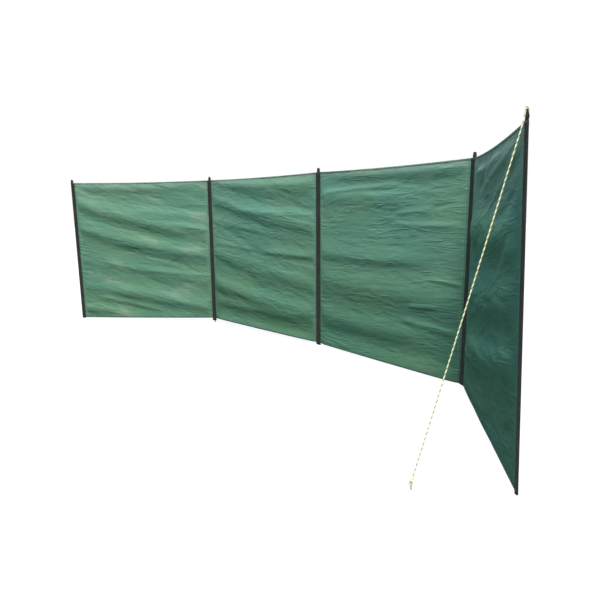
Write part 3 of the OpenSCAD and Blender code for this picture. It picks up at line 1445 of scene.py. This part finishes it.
@dataclass
class Studio:
    """The white floor, the light and the camera.

    Attributes:
        lamps: A warm key light and a broad cool fill light.
        sky: Strength of the sky overhead.
        low: Strength of the sky below the horizon.
        behind: How much stronger the sky is behind the windbreak.
        sky_tone: Colour of the sky.
        floor_half: Half the width of the floor.
        floor_drop: How far the floor is below the ground, clear of the pole feet.
        floor_tone: Colour that the floor throws back on the cloth.
        floor_shown: Grey of the floor that keeps the shadow.
        floor_glow: Glow that makes the floor white.
        place: Where the camera stands.
        yaw: Heading of its view in degrees.
        pitch: How far it looks up, in degrees.
        roll: How far it is tilted, in degrees.
        lens: Its focal length.
        sensor: Width of its picture.
        shift: How far its picture is shifted upwards.
    """

    lamps: tuple[Lamp, ...] = (
        Lamp("key_light", (-44.5, 62.0), 4.15, 18.0, (1.0, 0.96, 0.88)),
        Lamp("fill_light", (-142.0, 74.0), 0.82, 24.0, (0.80, 1.0, 1.50)),
    )
    sky: float = 0.42
    low: float = 0.02
    behind: float = 0.26
    sky_tone: tuple[float, float, float, float] = (0.66, 1.0, 1.36, 1.0)
    floor_half: float = 40.0
    floor_drop: float = 0.001
    floor_tone: tuple[float, float, float, float] = (0.05, 0.09, 0.08, 1.0)
    floor_shown: float = 0.16
    floor_glow: float = 0.90
    place: tuple[float, float, float] = (3.1117, -2.7978, 0.9620)
    yaw: float = 139.924
    pitch: float = -12.364
    roll: float = -0.485
    lens: float = 34.886
    sensor: float = 36.0
    shift: float = 0.0646

    @staticmethod
    def seen(board: Board) -> Wire:
        """Tells apart what is looked at and what only sends light.

        Args:
            board: The board of the floor's or the sky's finish.

        Returns:
            1 where the camera, a reflection or a see-through surface looks, and 0 for other light.
        """
        kinds = ("Is Camera Ray", "Is Glossy Ray", "Is Transmission Ray")
        camera, glossy, through = (board.node("ShaderNodeLightPath", {}, {}, kind) for kind in kinds)
        return camera.math("MAXIMUM", glossy).math("MAXIMUM", through)

    def build(self) -> None:
        """Sets up the stage."""
        self.build_floor()
        self.build_light()
        self.build_camera()

    def build_floor(self) -> None:
        """Lays the floor, which looks white and keeps a faint shadow."""
        made = bmesh.new()
        bmesh.ops.create_grid(made, x_segments=2, y_segments=2, size=self.floor_half)
        data = bpy.data.meshes.new("studio_floor")
        bmesh.ops.translate(made, vec=(0, 0, -self.floor_drop), verts=made.verts)
        made.to_mesh(data)
        made.free()
        floor = bpy.data.objects.new("studio_floor", data)
        bpy.context.scene.collection.objects.link(floor)
        material, board = new_material("floor_white")
        grey = (self.floor_shown, self.floor_shown, self.floor_shown, 1.0)
        paint = board.node("ShaderNodeBsdfDiffuse", {}, {"Color": grey})
        glow = board.node("ShaderNodeEmission", {}, {"Color": (1, 1, 1, 1), "Strength": self.floor_glow})
        shown = board.node("ShaderNodeAddShader", {}, {0: paint, 1: glow})
        plain = board.node("ShaderNodeBsdfDiffuse", {}, {"Color": self.floor_tone})
        both = board.node("ShaderNodeMixShader", {}, {0: self.seen(board), 1: plain, 2: shown})
        board.node("ShaderNodeOutputMaterial", {}, {"Surface": both})
        data.materials.append(material)

    def build_light(self) -> None:
        """Hangs the lamps and a soft sky."""
        for lamp in self.lamps:
            lamp.hang()
        world = bpy.data.worlds.new("studio_sky")
        bpy.context.scene.world = world
        world.use_nodes = True
        board = Board(world.node_tree)
        look = board.node("ShaderNodeTexCoord", {}, {}, "Generated")
        back, up = (board.node("ShaderNodeSeparateXYZ", {}, {0: look}, axis) for axis in "YZ")
        level = self.low + (self.sky - self.low) * up.within(-0.05, 0.9) + self.behind * back.within(0.0, 0.9)
        sky = board.node("ShaderNodeBackground", {}, {"Color": self.sky_tone, "Strength": level})
        white = board.node("ShaderNodeBackground", {}, {"Color": (1, 1, 1, 1), "Strength": 1.0})
        both = board.node("ShaderNodeMixShader", {}, {0: self.seen(board), 1: sky, 2: white})
        board.node("ShaderNodeOutputWorld", {}, {"Surface": both})
        bpy.context.scene.view_settings.view_transform = "Standard"

    def build_camera(self) -> None:
        """Sets the camera where the photograph was taken from."""
        yaw, pitch, roll = (math.radians(angle) for angle in (self.yaw, self.pitch, self.roll))
        ahead = Vector((math.cos(yaw) * math.cos(pitch), math.sin(yaw) * math.cos(pitch), math.sin(pitch)))
        right = Vector((math.sin(yaw), -math.cos(yaw), 0))
        above = right.cross(ahead)
        level = math.cos(roll) * right + math.sin(roll) * above
        upright = -math.sin(roll) * right + math.cos(roll) * above
        lens = bpy.data.cameras.new("camera")
        lens.lens = self.lens
        lens.sensor_width = self.sensor
        lens.shift_y = self.shift
        camera = bpy.data.objects.new("camera", lens)
        turned = Matrix((level, upright, -ahead)).transposed().to_4x4()
        camera.matrix_world = Matrix.Translation(self.place) @ turned
        bpy.context.scene.collection.objects.link(camera)
        bpy.context.scene.camera = camera


DRAPES = (
    Drape(
        folds=(
            Fold((0.00, 0.968), (0.75, 0.958), 0.008, 0.030, 0.028),
            Fold((-0.02, 0.868), (1.00, 0.625), 0.024, 0.055, 0.048, 0.025),
            Fold((0.48, 0.795), (1.00, 0.735), 0.009, 0.030, 0.028),
            Fold((0.72, 0.700), (1.00, 0.650), 0.005, 0.018, 0.016),
            Fold((-0.02, 0.700), (1.00, 0.462), 0.021, 0.055, 0.046, 0.030),
            Fold((-0.02, 0.455), (0.30, 0.390), 0.005, 0.045, 0.034),
            Fold((0.28, 0.420), (1.00, 0.262), 0.009, 0.035, 0.030, 0.012),
            Fold((0.55, 0.360), (1.00, 0.315), 0.005, 0.018, 0.016),
            Fold((-0.02, 0.243), (0.42, 0.200), 0.007, 0.035, 0.032),
            Fold((0.30, 0.200), (1.02, 0.070), 0.019, 0.045, 0.040, -0.008),
            Fold((0.18, 0.155), (0.62, 0.060), 0.007, 0.018, 0.016),
            Fold((-0.02, 0.078), (0.34, 0.028), 0.010, 0.035, 0.026),
            Fold((0.20, 0.000), (0.95, 0.000), 0.010, 0.040, 0.030),
        ),
        crinkles=(
            Crinkle(0.060, 4.5, -13.0, 0.0046, 0.35, 2.7),
            Crinkle(0.024, 4.0, -11.0, 0.0023, 0.60, 8.1),
        ),
        billow=0.006,
        seed=1.7,
        slope=-0.22,
        painted_light_rise=(0.38, 0.70),
        faded=0.46,
    ),
    Drape(
        folds=(
            Fold((-0.02, 0.988), (1.00, 0.938), 0.014, 0.028, 0.056, 0.012),
            Fold((-0.02, 0.885), (1.00, 0.690), 0.014, 0.045, 0.046, 0.020),
            Fold((0.35, 0.790), (1.00, 0.760), 0.005, 0.020, 0.020),
            Fold((0.00, 0.720), (0.55, 0.660), 0.005, 0.025, 0.022),
            Fold((0.05, 0.560), (0.45, 0.535), 0.004, 0.016, 0.016),
            Fold((0.55, 0.525), (1.02, 0.515), 0.006, 0.020, 0.016),
            Fold((-0.02, 0.500), (1.00, 0.345), 0.010, 0.050, 0.046, 0.015),
            Fold((-0.02, 0.275), (1.00, 0.165), 0.020, 0.050, 0.050, 0.018),
            Fold((-0.02, 0.140), (0.85, 0.118), 0.010, 0.032, 0.034),
            Fold((-0.02, 0.000), (1.02, 0.000), 0.012, 0.026, 0.030),
        ),
        crinkles=(
            Crinkle(0.062, 3.8, -11.0, 0.0040, 0.40, 14.3),
            Crinkle(0.024, 3.6, -7.0, 0.0019, 0.65, 21.9),
        ),
        billow=0.006,
        seed=5.3,
        slope=-0.15,
        painted_light_rise=(0.10, 0.85),
        faded=0.10,
    ),
    Drape(
        folds=(
            Fold((0.20, 0.975), (1.00, 0.965), 0.008, 0.026, 0.024),
            Fold((0.05, 0.885), (0.62, 0.905), 0.004, 0.012, 0.012, -0.012),
            Fold((-0.02, 0.865), (0.65, 0.855), 0.009, 0.030, 0.048),
            Fold((0.60, 0.775), (0.80, 0.790), 0.003, 0.010, 0.012),
            Fold((0.60, 0.720), (1.00, 0.715), 0.004, 0.012, 0.014),
            Fold((-0.02, 0.545), (0.72, 0.548), 0.009, 0.050, 0.026, 0.012),
            Fold((0.82, 0.468), (1.02, 0.450), 0.004, 0.008, 0.012),
            Fold((-0.02, 0.390), (1.00, 0.365), 0.011, 0.065, 0.060),
            Fold((0.70, 0.325), (0.86, 0.335), 0.004, 0.008, 0.010),
            Fold((0.66, 0.245), (0.98, 0.225), 0.005, 0.014, 0.016),
            Fold((-0.02, 0.185), (0.75, 0.175), 0.012, 0.045, 0.048, 0.012),
            Fold((-0.02, 0.005), (1.02, 0.005), 0.014, 0.040, 0.030),
        ),
        crinkles=(
            Crinkle(0.050, 3.8, 1.0, 0.0022, 0.50, 31.2),
            Crinkle(0.021, 3.6, 2.0, 0.0011, 0.55, 37.7),
        ),
        billow=0.005,
        seed=9.1,
        slope=0.02,
        painted_sheen_band=(0.62, 0.07),
    ),
    Drape(
        folds=(
            Fold((0.99, 0.985), (0.10, 0.930), 0.004, 0.012, 0.012),
            Fold((0.99, 0.975), (0.22, 0.860), 0.004, 0.012, 0.012),
            Fold((0.99, 0.965), (0.45, 0.780), 0.004, 0.012, 0.012),
            Fold((-0.02, 0.935), (1.02, 0.950), 0.006, 0.030, 0.040),
            Fold((-0.02, 0.700), (1.02, 0.690), 0.027, 0.080, 0.055, -0.010),
            Fold((-0.02, 0.405), (1.02, 0.540), 0.024, 0.080, 0.060),
            Fold((-0.02, 0.190), (1.02, 0.365), 0.026, 0.050, 0.075),
            Fold((-0.02, 0.010), (0.60, 0.015), 0.012, 0.055, 0.040),
        ),
        crinkles=(
            Crinkle(0.066, 3.4, 7.0, 0.0084, 0.35, 43.4),
            Crinkle(0.028, 3.4, 6.0, 0.0022, 0.60, 52.6),
        ),
        billow=0.001,
        seed=12.9,
        slope=0.11,
        painted_light_rise=(0.10, 0.62),
        faded=0.0,
        painted_sheen_band=(0.80, 0.34),
        hold=0.20,
        loose=0.20,
    ),
)


def main() -> None:
    """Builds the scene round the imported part."""
    logging.basicConfig(level=logging.INFO, format="%(message)s")
    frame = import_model()
    Studio().build()
    layout = Layout()
    for number, drape in enumerate(DRAPES, 1):
        Bay(layout, number, drape).build()
    for number in range(1, layout.poles + 1):
        post = Post(layout, number)
        post.build_sleeve()
        post.build_loop()
    GuyRope(layout).build()
    Bars(frame).dress()


if __name__ == "__main__":
    main()
